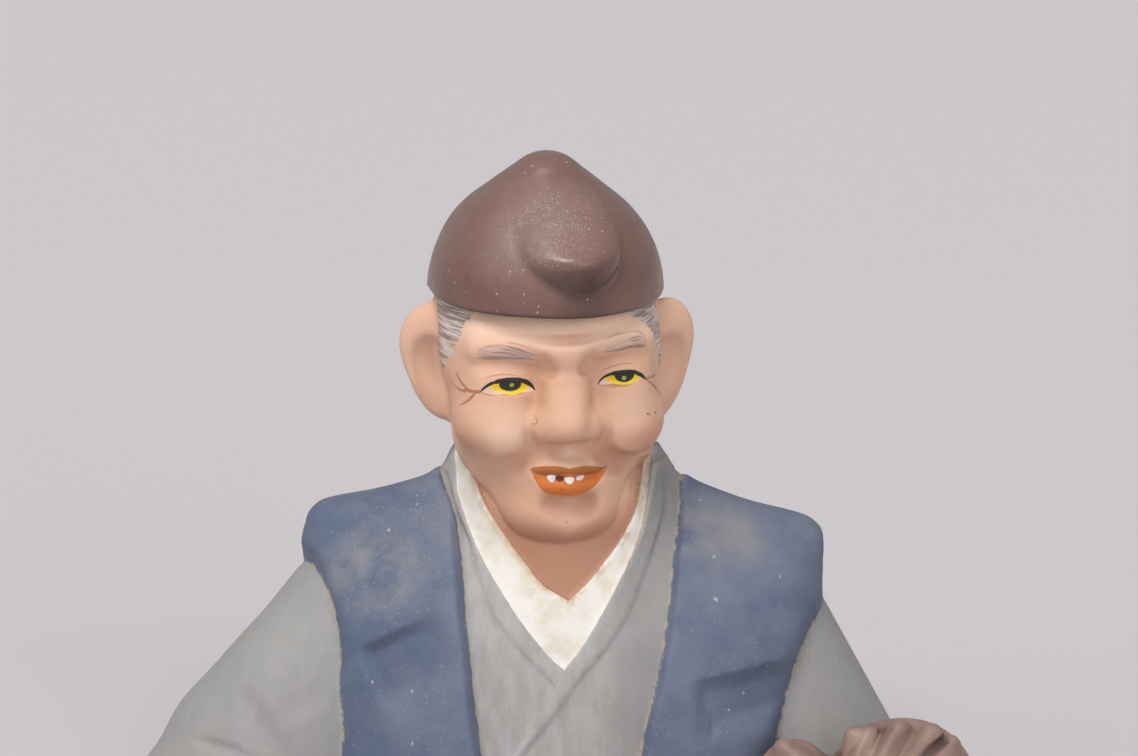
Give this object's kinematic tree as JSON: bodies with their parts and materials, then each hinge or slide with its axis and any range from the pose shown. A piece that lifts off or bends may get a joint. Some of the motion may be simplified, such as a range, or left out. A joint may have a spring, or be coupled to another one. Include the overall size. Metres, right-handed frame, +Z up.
{
  "type": "hakata doll bust",
  "caption": "Painted clay bust of a smiling old man in a peaked cap, collared kimono and sleeveless vest, cut flat below, with a low carved work before one sleeve.",
  "frame": {"origin": "on the flat underside, below the middle of the bust", "axes": "+Z up from the flat underside, the figure faces -Y, +X to the viewer's right"},
  "size_m": [0.1552, 0.0667, 0.1197],
  "materials": {
    "painted_clay": "matt painted clay, flesh, brown, white, grey and blue",
    "brown_clay": "matt brown painted clay, worn on its ridges"
  },
  "bodies": {
    "root": {"figure": "painted_clay", "carved_work": "brown_clay"}
  },
  "joints": []
}
